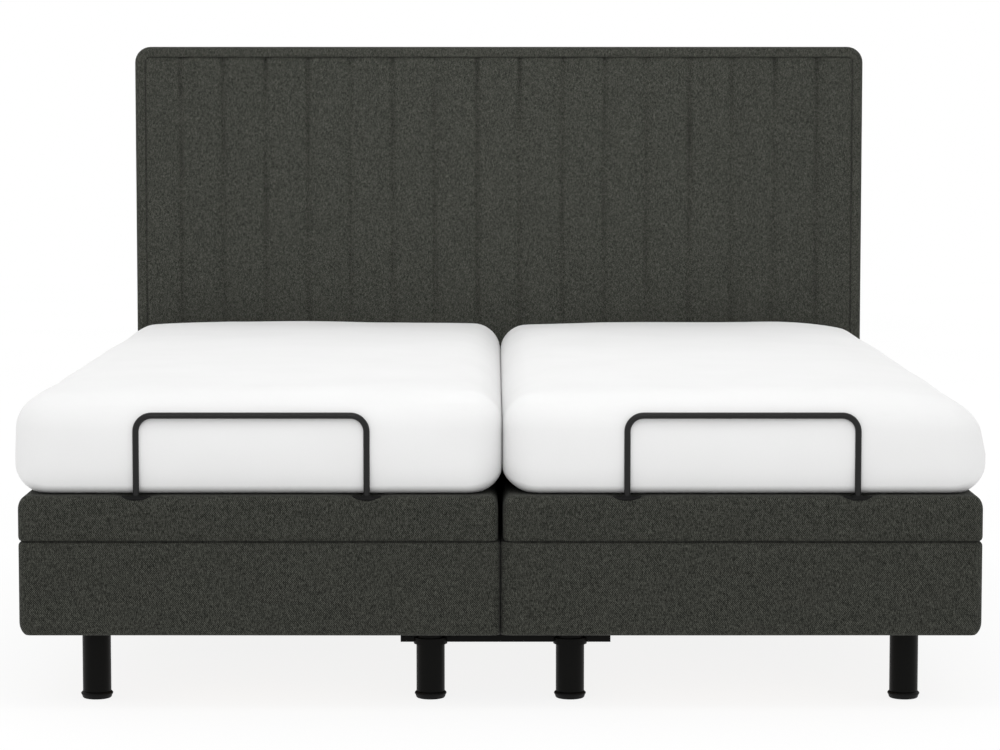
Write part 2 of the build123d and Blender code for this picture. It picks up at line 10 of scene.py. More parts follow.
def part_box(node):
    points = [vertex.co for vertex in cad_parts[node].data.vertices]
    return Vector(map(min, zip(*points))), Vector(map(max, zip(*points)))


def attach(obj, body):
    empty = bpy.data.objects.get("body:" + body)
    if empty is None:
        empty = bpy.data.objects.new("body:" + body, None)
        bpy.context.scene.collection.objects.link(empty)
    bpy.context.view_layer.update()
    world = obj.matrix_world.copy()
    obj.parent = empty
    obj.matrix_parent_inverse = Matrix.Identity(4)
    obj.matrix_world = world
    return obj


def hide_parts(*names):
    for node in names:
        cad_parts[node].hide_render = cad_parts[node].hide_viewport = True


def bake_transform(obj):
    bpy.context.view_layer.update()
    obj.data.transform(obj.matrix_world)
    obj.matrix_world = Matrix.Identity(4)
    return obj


# A split boxspring bed with powered decks: what shows of it, in metres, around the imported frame.
# Every piece keeps the frame's own coordinates: X across, Y from foot to headboard, Z up.

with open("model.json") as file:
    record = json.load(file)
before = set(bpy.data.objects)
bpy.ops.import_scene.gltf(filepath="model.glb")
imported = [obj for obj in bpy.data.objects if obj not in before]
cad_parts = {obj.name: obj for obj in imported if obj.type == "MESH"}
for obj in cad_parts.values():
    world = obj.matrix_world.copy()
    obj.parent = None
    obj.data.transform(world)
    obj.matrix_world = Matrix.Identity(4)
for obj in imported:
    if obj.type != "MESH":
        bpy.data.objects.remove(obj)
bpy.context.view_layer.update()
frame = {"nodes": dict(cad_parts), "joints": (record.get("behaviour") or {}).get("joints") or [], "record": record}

TURN = 2 * math.pi
SIDES = ("left", "right")
JOINTS = {joint["name"]: joint for joint in frame["joints"]}
FOOT_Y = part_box("box_cover_left")[0].y
BACK_AXIS = Vector(JOINTS["back_lift_left"]["pos_m"])
THIGH_AXIS = Vector(JOINTS["knee_lift_left"]["pos_m"])
KNEE_AXIS = Vector(JOINTS["calf_fold_left"]["pos_m"])
SECTIONS = ("calf", "thigh", "seat", "back")
SECTION_BODY = {"calf": "calf_section", "thigh": "thigh_section", "back": "back_section"}


# ---- meshes ----------------------------------------------------------------------------------


def new_piece(name, mesh, material, body=None, angle=None):
    """An object at the origin with smooth faces, its finish and its body."""
    piece = bpy.data.objects.new(name, mesh)
    bpy.context.scene.collection.objects.link(piece)
    mesh.materials.clear()
    mesh.materials.append(material)
    mesh.shade_smooth()
    if angle:
        mesh.set_sharp_from_angle(angle=math.radians(angle))
    if body:
        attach(piece, body)
    return piece


def mesh_of(name, points, faces):
    """A mesh from its points and its faces' point numbers."""
    mesh = bpy.data.meshes.new(name)
    mesh.from_pydata([tuple(p) for p in points], [], faces)
    mesh.update()
    return mesh


def cloth_map(mesh):
    """Lays a weave map over a mesh in metres, each face seen along its widest side."""
    count = len(mesh.loops)
    corners = np.zeros(count, np.int32)
    mesh.loops.foreach_get("vertex_index", corners)
    points = np.zeros(len(mesh.vertices) * 3)
    mesh.vertices.foreach_get("co", points)
    points = points.reshape(-1, 3)[corners]
    normals = np.zeros(len(mesh.polygons) * 3)
    mesh.polygons.foreach_get("normal", normals)
    totals = np.zeros(len(mesh.polygons), np.int32)
    mesh.polygons.foreach_get("loop_total", totals)
    widest = np.repeat(np.abs(normals.reshape(-1, 3)).argmax(1), totals)
    across = np.where(widest == 0, points[:, 1], points[:, 0])
    along = np.where(widest == 2, points[:, 1], points[:, 2])
    layer = mesh.uv_layers.get("weave") or mesh.uv_layers.new(name="weave")
    layer.data.foreach_set("uv", np.stack([across, along], 1).ravel())


def round_ticks(low, high, radius_low, radius_high, step, extra=()):
    """Grid lines along one side of a block: fanned round both edges, evenly spaced between."""
    fan = [math.tan(math.radians(9 * k)) for k in range(1, 6)]
    start, end = low + radius_low, high - radius_high
    stops = sorted({start, end, *(e for e in extra if start < e < end)})
    middle = []
    for a, b in zip(stops, stops[1:]):
        parts = max(1, round((b - a) / step))
        middle += [a + (b - a) * k / parts for k in range(parts)]
    below = [start - radius_low * t for t in fan[::-1]]
    above = [end + radius_high * t for t in fan]
    return below + middle + [end] + above


def block_grid(*lines):
    """Points and outward quads over the six sides of a block with these X, Y and Z grid lines."""
    index, points, faces = {}, [], []

    def corner(place):
        if place not in index:
            index[place] = len(points)
            points.append([line[k] for line, k in zip(lines, place)])
        return index[place]

    for fixed, a, b, turn in ((2, 0, 1, -1), (0, 1, 2, -1), (1, 0, 2, 1)):
        for end, order in ((0, turn), (len(lines[fixed]) - 1, -turn)):
            for p in range(len(lines[a]) - 1):
                for q in range(len(lines[b]) - 1):
                    face = []
                    for dp, dq in ((0, 0), (1, 0), (1, 1), (0, 1)):
                        place = [end, end, end]
                        place[a], place[b] = p + dp, q + dq
                        face.append(corner(tuple(place)))
                    faces.append(face[::order])
    return np.array(points), faces


def soft_block(low, high, radius, top, lows, step, extra_x=(), extra_y=()):
    """A block with rounded edges: a corner radius in plan, then (reach, height) of the roundings.

    top is the rounding of all top edges, lows those of the low edges: at -X, at +X and at both Y ends.
    """
    xs = round_ticks(low[0], high[0], radius, radius, step, extra_x)
    ys = round_ticks(low[1], high[1], radius, radius, step, extra_y)
    deepest = max(height for _, height in lows)
    zs = round_ticks(low[2], high[2], deepest, top[1], step)
    points, faces = block_grid(xs, ys, zs)
    inner = np.clip(points[:, :2], np.array(low[:2]) + radius, np.array(high[:2]) - radius)
    away = points[:, :2] - inner
    share = np.abs(away).max(1) / radius
    over = (points[:, 2] - (high[2] - top[1])) / top[1]
    under = (low[2] + deepest - points[:, 2]) / deepest
    rise = np.maximum(np.maximum(over, under), 0)
    angle = np.arctan2(rise, share)
    length = np.maximum(np.linalg.norm(away, axis=1), 1e-9)
    direction = away / length[:, None]
    facing = direction**2
    west, east, ends = (np.array(pair) for pair in lows)
    low_edge = np.where(direction[:, :1] < 0, west, east) * facing[:, :1] + ends * facing[:, 1:]
    size = np.where((over > 0)[:, None], np.array(top), low_edge)
    inset = np.where(rise > 0, size[:, 0] * (1 - np.cos(angle)), 0)
    edge = share > 1e-6
    outline = inner + direction * (radius - inset)[:, None]
    points[:, :2] = np.where(edge[:, None], outline, points[:, :2])
    fall = size[:, 1] * (1 - np.sin(angle))
    lift = np.where(over > 0, high[2] - fall, low[2] + fall)
    points[:, 2] = np.where(edge & (rise > 0), lift, points[:, 2])
    return points, faces


def by_side(side, outer, inner, ends):
    """Three low edges as soft_block wants them, from the ones at the outer and inner side of a half."""
    return (outer, inner, ends) if side == "left" else (inner, outer, ends)


def ramp(values, start, length):
    """From 0 at the start to 1 after the length, and level outside."""
    return np.clip((values - start) / length, 0, 1)


def crown(points, low, high, amounts, power=4):
    """Swells each pair of sides by its amount: a higher power keeps more of the swell near the edges."""
    middle, half = (np.array(low) + np.array(high)) / 2, (np.array(high) - np.array(low)) / 2
    share = np.clip((points - middle) / half, -1, 1)
    falloff = 1 - share**power
    for axis, amount in enumerate(amounts):
        others = [k for k in range(3) if k != axis]
        points[:, axis] += amount * share[:, axis] ** 3 * falloff[:, others[0]] * falloff[:, others[1]]
    return points


def waves(points, size, height, seed, axis):
    """Slow unevenness of stuffed cloth, along one axis."""
    shift = Vector((seed * 3.1, seed * 7.7, seed * 1.3))
    for p in points:
        p[axis] += height * noise.noise(Vector(p) / size + shift)
    return points


def drop_faces(points, faces, boxes):
    """The faces whose middles are in none of the boxes, each a (low, high) pair of corners."""
    boxes = [(np.array(low), np.array(high)) for low, high in boxes]
    kept = []
    for face in faces:
        centre = points[face].mean(0)
        if not any((centre > low).all() and (centre < high).all() for low, high in boxes):
            kept.append(face)
    return kept


def thickened(piece, depth):
    """Gives an open cover its thickness, inwards, and closes its rims."""
    skin = piece.modifiers.new("cloth and foam", "SOLIDIFY")
    skin.thickness = depth
    skin.offset = -1
    skin.use_even_offset = False
    plain = bpy.data.meshes.new_from_object(piece.evaluated_get(bpy.context.evaluated_depsgraph_get()))
    piece.modifiers.remove(skin)
    piece.data = plain
    return piece


def inflated(name, points, faces, held):
    """Blows a closed form up as stiff ticking under light pressure, all but its held points."""
    scene = bpy.context.scene
    body = bpy.data.objects.new(name, mesh_of(name, points, faces))
    scene.collection.objects.link(body)
    body.vertex_groups.new(name="held").add(np.flatnonzero(held).tolist(), 1.0, "REPLACE")
    cloth = body.modifiers.new("filling", "CLOTH")
    ticking = cloth.settings
    ticking.vertex_group_mass = "held"
    ticking.use_pressure = True
    ticking.uniform_pressure_force = TICKING_PRESSURE
    for strain in ("tension", "compression", "shear"):
        setattr(ticking, f"{strain}_stiffness", TICKING_STIFFNESS)
        setattr(ticking, f"{strain}_damping", TICKING_DAMPING)
    ticking.bending_stiffness = TICKING_BENDING
    ticking.effector_weights.gravity = 0
    cloth.point_cache.frame_end = TICKING_FRAMES
    for step in range(1, TICKING_FRAMES + 1):
        scene.frame_set(step)
    soft = body.evaluated_get(bpy.context.evaluated_depsgraph_get()).to_mesh()
    blown = np.zeros(len(points) * 3)
    soft.vertices.foreach_get("co", blown)
    scene.frame_set(1)
    bpy.data.objects.remove(body)
    move = blown.reshape(-1, 3) - points
    reach = np.maximum(np.linalg.norm(move, axis=1, keepdims=True), 1e-9)
    return points + move * np.minimum(1, TICKING_CAP / reach)


def turned_piece(profile, sides):
    """Points and faces of a closed turned shape from (radius, height) pairs, bottom to top."""
    points, faces = [], []
    for radius, height in profile:
        for k in range(sides):
            angle = TURN * k / sides
            points.append((radius * math.cos(angle), radius * math.sin(angle), height))
    for ring in range(len(profile) - 1):
        for k in range(sides):
            a, b = ring * sides + k, ring * sides + (k + 1) % sides
            faces.append([a, b, b + sides, a + sides])
    faces.append(list(range(sides))[::-1])
    faces.append([(len(profile) - 1) * sides + k for k in range(sides)])
    return points, faces


def tube(line, radius, sides=24):
    """A round bar along a line of points in one XZ plane, closed at both ends."""
    points, faces = [], []
    for n, here in enumerate(line):
        before, after = line[max(n - 1, 0)], line[min(n + 1, len(line) - 1)]
        ahead = (after - before).normalized()
        out = Vector((ahead.z, 0, -ahead.x))
        for k in range(sides):
            angle = TURN * k / sides
            points.append(here + radius * (math.cos(angle) * out + math.sin(angle) * Vector((0, 1, 0))))
    for ring in range(len(line) - 1):
        for k in range(sides):
            a, b = ring * sides + k, ring * sides + (k + 1) % sides
            faces.append([a, b, b + sides, a + sides])
    faces.append(list(range(sides))[::-1])
    faces.append([(len(line) - 1) * sides + k for k in range(sides)])
    return points, faces


# ---- node trees ------------------------------------------------------------------------------


class Signal:
    """A node's output that sums can be written with; each operator adds its Math node."""

    def __init__(self, tree, socket):
        self.tree = tree
        self.socket = socket

    def math(self, operation, *values):
        node = self.tree.node("ShaderNodeMath", {"operation": operation}, dict(enumerate(values)))
        return node[0]

    def __add__(self, other):
        return self.math("ADD", self, other)

    def __sub__(self, other):
        return self.math("SUBTRACT", self, other)

    def __mul__(self, other):
        return self.math("MULTIPLY", self, other)

    def __truediv__(self, other):
        return self.math("DIVIDE", self, other)

    def __pow__(self, other):
        return self.math("POWER", self, other)

    def __radd__(self, other):
        return self.math("ADD", other, self)

    def __rsub__(self, other):
        return self.math("SUBTRACT", other, self)

    def __rmul__(self, other):
        return self.math("MULTIPLY", other, self)

    def sine(self):
        return self.math("SINE", self)

    def size(self):
        return self.math("ABSOLUTE", self)

    def exponent(self):
        return self.math("EXPONENT", self)

    def clamped(self):
        return self.math("MAXIMUM", self.math("MINIMUM", self, 1.0), 0.0)


class Tree:
    """A shader or geometry tree: node() adds any node, sets it up and links it."""

    def __init__(self, tree):
        self.tree = tree

    def node(self, kind, settings=None, inputs=None):
        node = self.tree.nodes.new(kind)
        for name, value in (settings or {}).items():
            if name == "stops":
                self.set_stops(node.color_ramp, value)
            else:
                setattr(node, name, value)
        for key, value in (inputs or {}).items():
            if isinstance(value, Signal):
                self.tree.links.new(value.socket, node.inputs[key])
            else:
                node.inputs[key].default_value = value
        return Outputs(self, node)

    @staticmethod
    def set_stops(ramp, stops):
        while len(ramp.elements) < len(stops):
            ramp.elements.new(0.5)
        for element, (place, colour) in zip(ramp.elements, stops):
            element.position = place
            element.color = (*colour, 1)

    def mixed(self, share, first, second):
        """One colour that goes from first to second."""
        inputs = {0: share}
        for key, colour in ((6, first), (7, second)):
            inputs[key] = colour if isinstance(colour, Signal) else (*colour, 1)
        return self.node("ShaderNodeMix", {"data_type": "RGBA"}, inputs)[2]

    def grain(self, vector, scale, detail=2.0, roughness=0.5):
        values = {"Vector": vector, "Scale": scale, "Detail": detail, "Roughness": roughness}
        return self.node("ShaderNodeTexNoise", None, values)[0]

    def joined(self, x, y, z):
        return self.node("ShaderNodeCombineXYZ", None, {0: x, 1: y, 2: z})[0]

    def parts(self, vector):
        split = self.node("ShaderNodeSeparateXYZ", None, {0: vector})
        return split[0], split[1], split[2]


class Outputs:
    """A node's outputs, by number or by name, as signals."""

    def __init__(self, tree, node):
        self.tree = tree
        self.node = node

    def __getitem__(self, key):
        return Signal(self.tree, self.node.outputs[key])


def finish_material(name, paint):
    """A material whose Principled shader gets what paint(tree) returns: socket name to value."""
    material = bpy.data.materials.new(name)
    material.use_nodes = True
    material.node_tree.nodes.clear()
    tree = Tree(material.node_tree)
    shader = tree.node("ShaderNodeBsdfPrincipled", None, paint(tree))
    tree.node("ShaderNodeOutputMaterial", None, {"Surface": shader[0]})
    return material


def bump(tree, height, distance, strength=1.0):
    values = {"Strength": strength, "Distance": distance, "Height": height}
    return tree.node("ShaderNodeBump", None, values)[0]


# ---- finishes --------------------------------------------------------------------------------

def melange_weave(tree):
    """Plain weave of dark grey-green yarns: slubs run along both threads."""
    cloth = tree.node("ShaderNodeUVMap", {"uv_map": "weave"})[0]
    u, v, _ = tree.parts(cloth)
    warp = tree.grain(tree.joined(u * 900.0, v * 160.0, 1.7), 1.0)
    weft = tree.grain(tree.joined(u * 160.0, v * 900.0, 8.3), 1.0)
    speck = tree.grain(tree.joined(u * 1300.0, v * 1100.0, 3.1), 1.0, 1.0)
    wander = tree.grain(tree.joined(u * 45.0, v * 45.0, 0.4), 1.0) * 5.0
    across = (u * (TURN / 0.0037) + wander).sine()
    along = (v * (TURN / 0.0044) + wander).sine()
    crossing = across * along
    tone = 0.45 + crossing * 0.50 + (warp - 0.5) * 2.1 + (weft - 0.5) * 1.1 + (speck - 0.5) * 1.7
    dark, middling, light = (0.0072, 0.0076, 0.0061), (0.0267, 0.0277, 0.0228), (0.0890, 0.0910, 0.0770)
    yarns = {"stops": [(0.0, dark), (0.5, middling), (1.0, light)]}
    colour = tree.node("ShaderNodeValToRGB", yarns, {0: tone.clamped()})[0]
    return {
        "Base Color": colour,
        "Roughness": 0.92 - tone.clamped() * 0.1,
        "Normal": bump(tree, crossing * 0.4 + warp + weft, 0.0005, 0.5),
        "Specular IOR Level": 0.1,
        "Sheen Weight": 0.03,
        "Sheen Roughness": 0.5,
    }


def stretch_knit(tree):
    """White mattress ticking: fine ribs and very light, slow unevenness."""
    cloth = tree.node("ShaderNodeUVMap", {"uv_map": "weave"})[0]
    u, v, _ = tree.parts(cloth)
    ribs = (u * (TURN / 0.0018)).sine() * (v * (TURN / 0.0026)).sine()
    cloudy = tree.grain(tree.joined(u * 7.0, v * 7.0, 2.2), 1.0)
    lint = tree.grain(tree.joined(u * 420.0, v * 420.0, 5.5), 1.0)
    colour = tree.mixed((cloudy * 0.7 + lint * 0.3).clamped(), (0.748, 0.748, 0.746), (0.808, 0.808, 0.808))
    return {
        "Base Color": colour,
        "Roughness": 0.82 + lint * 0.1,
        "Normal": bump(tree, ribs * 0.5 + lint, 0.0003, 0.3),
        "Specular IOR Level": 0.1,
        "Sheen Weight": 0.02,
        "Sheen Roughness": 0.5,
    }


def powder_coat(tree):
    """Satin black powder coat with a fine orange-peel skin."""
    place = tree.node("ShaderNodeTexCoord")["Object"]
    peel = tree.grain(place, 900.0, 1.0)
    dust = tree.grain(place, 14.0)
    colour = tree.mixed(dust, (0.0014, 0.0014, 0.0011), (0.0032, 0.0031, 0.0026))
    return {
        "Base Color": colour,
        "Roughness": 0.34 + peel * 0.1 + dust * 0.06,
        "Normal": bump(tree, peel, 0.0002, 0.25),
        "Specular IOR Level": 0.08,
    }


def bar_enamel(tree):
    """Graphite enamel of the retainer bars, a little glossier than the frames."""
    place = tree.node("ShaderNodeTexCoord")["Object"]
    fleck = tree.grain(place, 1400.0, 1.0)
    colour = tree.mixed(fleck, (0.004, 0.004, 0.004), (0.014, 0.014, 0.014))
    return {
        "Base Color": colour,
        "Roughness": 0.28 + fleck * 0.10,
        "Normal": bump(tree, fleck, 0.0001, 0.2),
        "Specular IOR Level": 0.22,
    }


def moulded_black(tree):
    """Black moulded plastic with a spark-eroded grain."""
    place = tree.node("ShaderNodeTexCoord")["Object"]
    grain = tree.grain(place, 1800.0, 2.0)
    slow = tree.grain(place, 25.0)
    colour = tree.mixed(slow, (0.0030, 0.0030, 0.0030), (0.0060, 0.0060, 0.0060))
    return {
        "Base Color": colour,
        "Roughness": 0.48 + grain * 0.14,
        "Normal": bump(tree, grain, 0.0002, 0.3),
        "Specular IOR Level": 0.1,
    }


def plywood(tree):
    """Birch plywood: long grain on the faces, thin dark and light plies on the edges."""
    place = tree.node("ShaderNodeTexCoord")["Object"]
    x, y, z = tree.parts(place)
    long_grain = tree.grain(tree.joined(x * 6.0, y * 90.0, z * 6.0), 1.0, 4.0, 0.6)
    flecks = tree.grain(tree.joined(x * 30.0, y * 420.0, z * 30.0), 1.0, 2.0)
    plies = (z * (TURN / 0.003)).sine() * 0.5 + 0.5
    side = tree.node("ShaderNodeNewGeometry")["Normal"]
    edge = 1.0 - tree.parts(side)[2].size()
    face = tree.mixed((long_grain * 1.3 - 0.15).clamped(), (0.42, 0.27, 0.14), (0.66, 0.48, 0.29))
    ply = tree.mixed(plies, (0.30, 0.18, 0.09), (0.62, 0.45, 0.27))
    colour = tree.mixed((edge * 1.4).clamped() * 0.75, face, ply)
    return {
        "Base Color": colour,
        "Roughness": 0.62 + flecks * 0.2,
        "Normal": bump(tree, long_grain + flecks * 0.4, 0.0004, 0.35),
    }


def bright_zinc(tree):
    """Zinc plate: spangled, slightly brushed."""
    place = tree.node("ShaderNodeTexCoord")["Object"]
    x, y, z = tree.parts(place)
    spangle = tree.node("ShaderNodeTexVoronoi", None, {"Vector": place, "Scale": 260.0})["Distance"]
    brushed = tree.grain(tree.joined(x * 1500.0, y * 60.0, z * 1500.0), 1.0)
    colour = tree.mixed(spangle.clamped(), (0.56, 0.57, 0.58), (0.74, 0.74, 0.73))
    return {
        "Base Color": colour,
        "Metallic": 1.0,
        "Roughness": 0.26 + brushed * 0.16,
        "Normal": bump(tree, brushed, 0.0001, 0.2),
    }


def backing_cloth(tree):
    """Thin black spun cloth stapled over the back of the headboard."""
    place = tree.node("ShaderNodeTexCoord")["Object"]
    fibres = tree.grain(place, 700.0, 3.0, 0.7)
    spots = tree.node("ShaderNodeTexVoronoi", None, {"Vector": place, "Scale": 420.0})["Distance"]
    colour = tree.mixed(fibres, (0.012, 0.012, 0.012), (0.034, 0.034, 0.035))
    return {
        "Base Color": colour,
        "Roughness": 0.88,
        "Normal": bump(tree, fibres + spots.clamped(), 0.0004, 0.4),
    }


def pale_floor(tree):
    """White floor that shines enough to stay white, with a weak shadow left on it."""
    place = tree.node("ShaderNodeTexCoord")["Object"]
    cloudy = tree.grain(place, 0.8)
    return {
        "Base Color": tree.mixed(cloudy, (0.125, 0.125, 0.125), (0.145, 0.145, 0.145)),
        "Roughness": 0.9,
        "Specular IOR Level": 0.0,
        "Emission Color": (1, 1, 1, 1),
        "Emission Strength": 0.865,
    }


WEAVE = finish_material("melange_weave", melange_weave)
KNIT = finish_material("stretch_knit", stretch_knit)
STEEL = finish_material("powder_coat", powder_coat)
ENAMEL = finish_material("bar_enamel", bar_enamel)
PLASTIC = finish_material("moulded_black", moulded_black)
TIMBER = finish_material("plywood", plywood)
ZINC = finish_material("bright_zinc", bright_zinc)
BACKING = finish_material("backing_cloth", backing_cloth)
FLOOR = finish_material("pale_floor", pale_floor)

SLOT_FINISH = {
    "upholstery": WEAVE,
    "mattress_knit": KNIT,
    "black_steel": STEEL,
    "black_plastic": PLASTIC,
    "timber": TIMBER,
    "zinc_steel": ZINC,
    "back_cloth": BACKING,
}


def finish_cad_nodes():
    """Gives every CAD node the finish of its material slot."""
    for part in frame["record"]["subparts"]:
        data = frame["nodes"][part["node"]].data
        data.materials.clear()
        data.materials.append(SLOT_FINISH[part["material_slot"]])


# ---- boxes and decks -------------------------------------------------------------------------

# An edge is the (reach, height) of its rounding; low edges are the outer, the inner and the ends.
# Waves are their (size, height). BEYOND is past everything, for an opening or a part without an end.
COVER_DEPTH = 0.009
NEARLY = 0.0001
BEYOND = 9.0
HALF_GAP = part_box("box_cover_right")[0].x
BOX_CORNER = 0.020
BOX_TOP_EDGE = (0.007, 0.009)
BOX_LOW_EDGES = ((0.020, 0.024), (0.003, 0.003), (0.008, 0.008))
DECK_CORNER = 0.018
DECK_TOP_EDGE = (0.018, 0.026)
DECK_RECESS = 0.0015
DECK_LOW_EDGE = (0.006, 0.009)
DECK_RIM = 0.0095
DECK_PROUD = 0.003
EAR_SLOT_X = (0.354, 0.379)
EAR_SLOT_HALF = 0.028
EAR_SLOT_RISE = 0.04
BOX_RIM = 0.03
BOX_SWELL = 0.003
BOX_WAVES = (0.35, 0.0012)
DECK_WAVES = (0.22, 0.001)
GRID_STEP = 0.022


def inner_moved(side, low, high, toward_middle):
    """The corners of a half's piece with its inner side moved, positive towards the other half."""
    low, high = Vector(low), Vector(high)
    if side == "left":
        high.x += toward_middle
    else:
        low.x -= toward_middle
    return low, high


def box_cover(side):
    """The upholstered lower box: fabric round the sides, turned in over both rims."""
    low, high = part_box(f"box_cover_{side}")
    low, high = inner_moved(side, low, high, HALF_GAP - NEARLY)
    inner_low, inner_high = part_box(f"fixed_frame_{side}")
    rim_x = (inner_low.x, inner_high.x)
    rim_y = (low.y + BOX_RIM, high.y - BOX_RIM)
    size = (BOX_CORNER, BOX_TOP_EDGE, by_side(side, *BOX_LOW_EDGES))
    points, faces = soft_block(low, high, *size, GRID_STEP, rim_x, rim_y)
    opening = ((rim_x[0], rim_y[0], -BEYOND), (rim_x[1], rim_y[1], BEYOND))
    faces = drop_faces(points, faces, [opening])
    points = crown(points, low, high, (0, BOX_SWELL, 0), power=14)
    points = waves(points, *BOX_WAVES, 1 if side == "left" else 2, 1)
    mesh = mesh_of(f"box_upholstery_{side}", points, faces)
    piece = new_piece(mesh.name, mesh, WEAVE)
    thickened(piece, COVER_DEPTH)
    cloth_map(piece.data)
    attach(piece, "base")
    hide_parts(f"box_cover_{side}")


def bar_feet(side):
    """Where the two feet of a retainer bar stand, as X values, and their Y."""
    low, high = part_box(f"retainer_bar_{side}")
    radius = (high.y - low.y) / 2
    return (low.x + radius, high.x - radius), (low.y + high.y) / 2


def deck_cover(section, side):
    """A section's upholstered tray, with slots for the hinge ears under the mattress."""
    low, high = inner_moved(side, *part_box(f"{section}_cover_{side}"), -DECK_RECESS)
    low.y -= 0 if section == "calf" else DECK_PROUD
    high.y += 0 if section == "back" else DECK_PROUD
    centre = sum(corner.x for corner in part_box(f"{section}_cover_{side}")) / 2
    rim_x = (low.x + DECK_RIM, high.x - DECK_RIM)
    ears = [centre + sign * x for sign in (-1, 1) for x in EAR_SLOT_X]
    slots = [y + d for y in (THIGH_AXIS.y, BACK_AXIS.y) for d in (-EAR_SLOT_HALF, EAR_SLOT_HALF)]
    size = (DECK_CORNER, DECK_TOP_EDGE, (DECK_LOW_EDGE,) * 3)
    points, faces = soft_block(low, high, *size, GRID_STEP / 2, (*rim_x, *ears), slots)
    under = low.z + DECK_LOW_EDGE[1] / 2
    holes = [((rim_x[0], low.y + DECK_RIM, -BEYOND), (rim_x[1], high.y - DECK_RIM, under))]
    for a, b in (ears[:2][::-1], ears[2:]):
        for start, end in (slots[:2], slots[2:]):
            holes.append(((a, start, low.z + EAR_SLOT_RISE), (b, end, BEYOND)))
    faces = drop_faces(points, faces, holes)
    points = waves(points, *DECK_WAVES, 3 + SECTIONS.index(section), 1)
    if section == "calf":
        points = dented(points, side, high.z)
    mesh = mesh_of(f"{section}_deck_{side}", points, faces)
    piece = new_piece(mesh.name, mesh, WEAVE)
    thickened(piece, COVER_DEPTH)
    cloth_map(piece.data)
    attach(piece, f"{SECTION_BODY[section]}_{side}" if section in SECTION_BODY else "base")
    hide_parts(f"{section}_cover_{side}")


# Black sheets of painted shade, laid in the pressed dent round each foot of a retainer bar: their size, rings,
# sides, two skins and lip.
SHADE_SHEET = (0.027, 0.0105)
SHADE_SHEET_RINGS = (0.15, 0.25, 0.32, 0.4, 0.5, 0.6, 0.7, 0.8, 0.9, 0.97, 1.0)
SHADE_SHEET_SIDES = 48
SHADE_SHEET_LIFTS = (0.0016, 0.0004)
SHADE_SHEET_LIP = 0.0006
DENT = 0.0065
DENT_REACH = (0.026, 0.022)
DENT_RISE = (-0.05, 0.03)
COLLAR = 0.011
COLLAR_REACH = 0.008


def dent_at(from_foot_x, from_foot_y):
    """How deep a bar's foot presses the cover, this far from its middle."""
    across, along = from_foot_x / DENT_REACH[0], from_foot_y / DENT_REACH[1]
    return DENT * np.exp(-(across**2) - along**2)


def dented(points, side, top):
    """Presses the cover down round the two feet of the retainer bar."""
    feet, foot_y = bar_feet(side)
    for foot in feet:
        near_top = ramp(points[:, 2] - top, *DENT_RISE)
        points[:, 2] -= dent_at(points[:, 0] - foot, points[:, 1] - foot_y) * near_top
    return points


def shade_sheet_height(dx, dy, from_front, top):
    """Height of the painted-shade sheet beside its bar: over the pressed cover and its rounded front edge."""
    reach, height = DECK_TOP_EDGE
    over = min(1, max(0, (reach - from_front) / reach))
    fall = height * (1 - math.sqrt(1 - over * over))
    collar = COLLAR * math.exp(-((math.hypot(dx, dy) / COLLAR_REACH) ** 2))
    return top - fall - dent_at(dx, dy) + collar


def bar_foot_shade_sheets(side):
    """A thin black sheet of painted shade, draped over the deck's edge in the pressed dent where each foot of the
    bar goes in.
    """
    low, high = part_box(f"calf_cover_{side}")
    feet, foot_y = bar_feet(side)
    around, sheet = SHADE_SHEET_SIDES, len(SHADE_SHEET_RINGS) * SHADE_SHEET_SIDES
    points, faces = [], []
    for foot in feet:
        start = len(points)
        for lift in SHADE_SHEET_LIFTS:
            for share in SHADE_SHEET_RINGS:
                lip = SHADE_SHEET_LIP if (lift, share) == (SHADE_SHEET_LIFTS[0], 1.0) else 0
                for k in range(around):
                    angle = TURN * k / around
                    dx, dy = share * SHADE_SHEET[0] * math.cos(angle), share * SHADE_SHEET[1] * math.sin(angle)
                    z = shade_sheet_height(dx, dy, foot_y + dy - low.y, high.z) + lift - lip
                    points.append((foot + dx, foot_y + dy, z))
        for ring in range(len(SHADE_SHEET_RINGS) - 1):
            for k in range(around):
                a, b = start + ring * around + k, start + ring * around + (k + 1) % around
                faces.append([a, a + around, b + around, b])
                faces.append([a + sheet, b + sheet, b + around + sheet, a + around + sheet])
        last = sheet - around
        for k in range(around):
            a, b = start + k, start + (k + 1) % around
            faces.append([a, b, b + sheet, a + sheet])
            faces.append([a + last, a + last + sheet, b + last + sheet, b + last])
    mesh = mesh_of(f"bar_sockets_{side}", points, faces)
    # The black plastic finish on these sheets paints the shade in the dents round the bar's feet.
    new_piece(mesh.name, mesh, PLASTIC, f"calf_section_{side}", angle=50)


# ---- mattresses ------------------------------------------------------------------------------

MATTRESS_CORNER = 0.068
MATTRESS_TOP_EDGE = (0.062, 0.064)
MATTRESS_LOW_EDGES = {
    "left": ((0.054, 0.052), (0.052, 0.046), (0.022, 0.020)),
    "right": ((0.054, 0.052), (0.066, 0.046), (0.022, 0.020)),
}
MATTRESS_SIDE = 0.911
SLUMP = {"left": (0.004, 0.004), "right": (0.018, 0.020)}
MATTRESS_BULGE = (0.009, 0.004, 0.004)
MATTRESS_WAVES = (0.30, 0.005)
